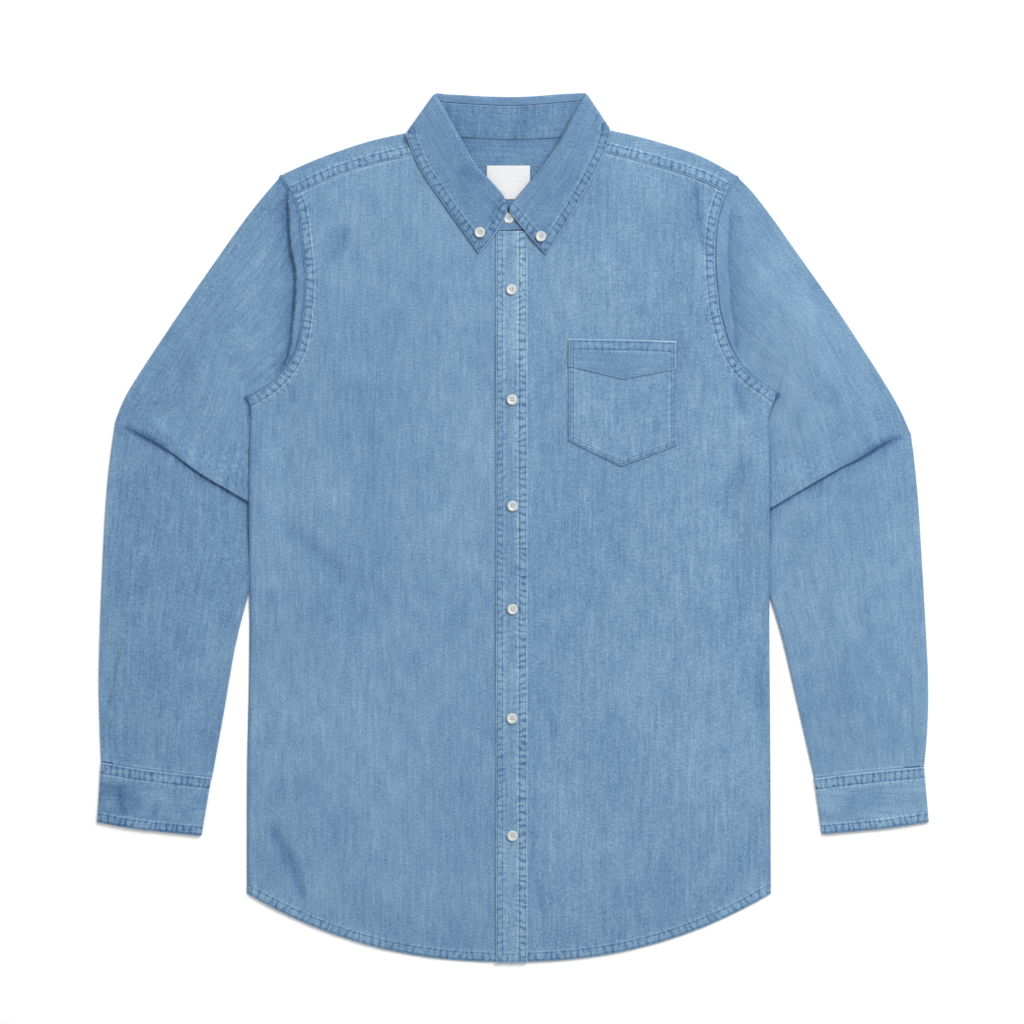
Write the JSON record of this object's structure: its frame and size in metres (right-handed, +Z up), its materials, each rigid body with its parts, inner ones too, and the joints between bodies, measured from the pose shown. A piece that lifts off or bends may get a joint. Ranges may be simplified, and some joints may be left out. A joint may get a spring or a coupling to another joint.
{
  "type": "denim shirt laid flat",
  "caption": "Button-down collar denim shirt laid flat on its back, long sleeves bent slightly at the elbow, full placket, pointed chest pocket and curved hem.",
  "frame": {"origin": "on the surface that the shirt lies on, under the middle of its outline", "axes": "+Y up the shirt to the collar, +X across it to the wearer's left, +Z up from the surface, out of the fronts"},
  "size_m": [0.8312, 0.8689, 0.0103],
  "materials": {
    "denim": "light-blue washed lightweight denim, matt, with pale slubs and puckered seams",
    "tape": "plain white woven label",
    "button": "pearly white, four holes"
  },
  "bodies": {
    "root": {"back": "denim", "yoke": "denim", "front_right": "denim", "front_left": "denim", "sleeve_right": "denim", "sleeve_left": "denim", "cuff_right": "denim", "cuff_left": "denim", "placket": "denim", "pocket": "denim", "pocket_band": "denim", "collar_band": "denim", "collar_leaf": "denim", "label": "tape", "button_neck": "button", "button_front_1": "button", "button_front_2": "button", "button_front_3": "button", "button_front_4": "button", "button_front_5": "button", "button_front_6": "button", "button_collar_right": "button", "button_collar_left": "button"}
  },
  "joints": []
}
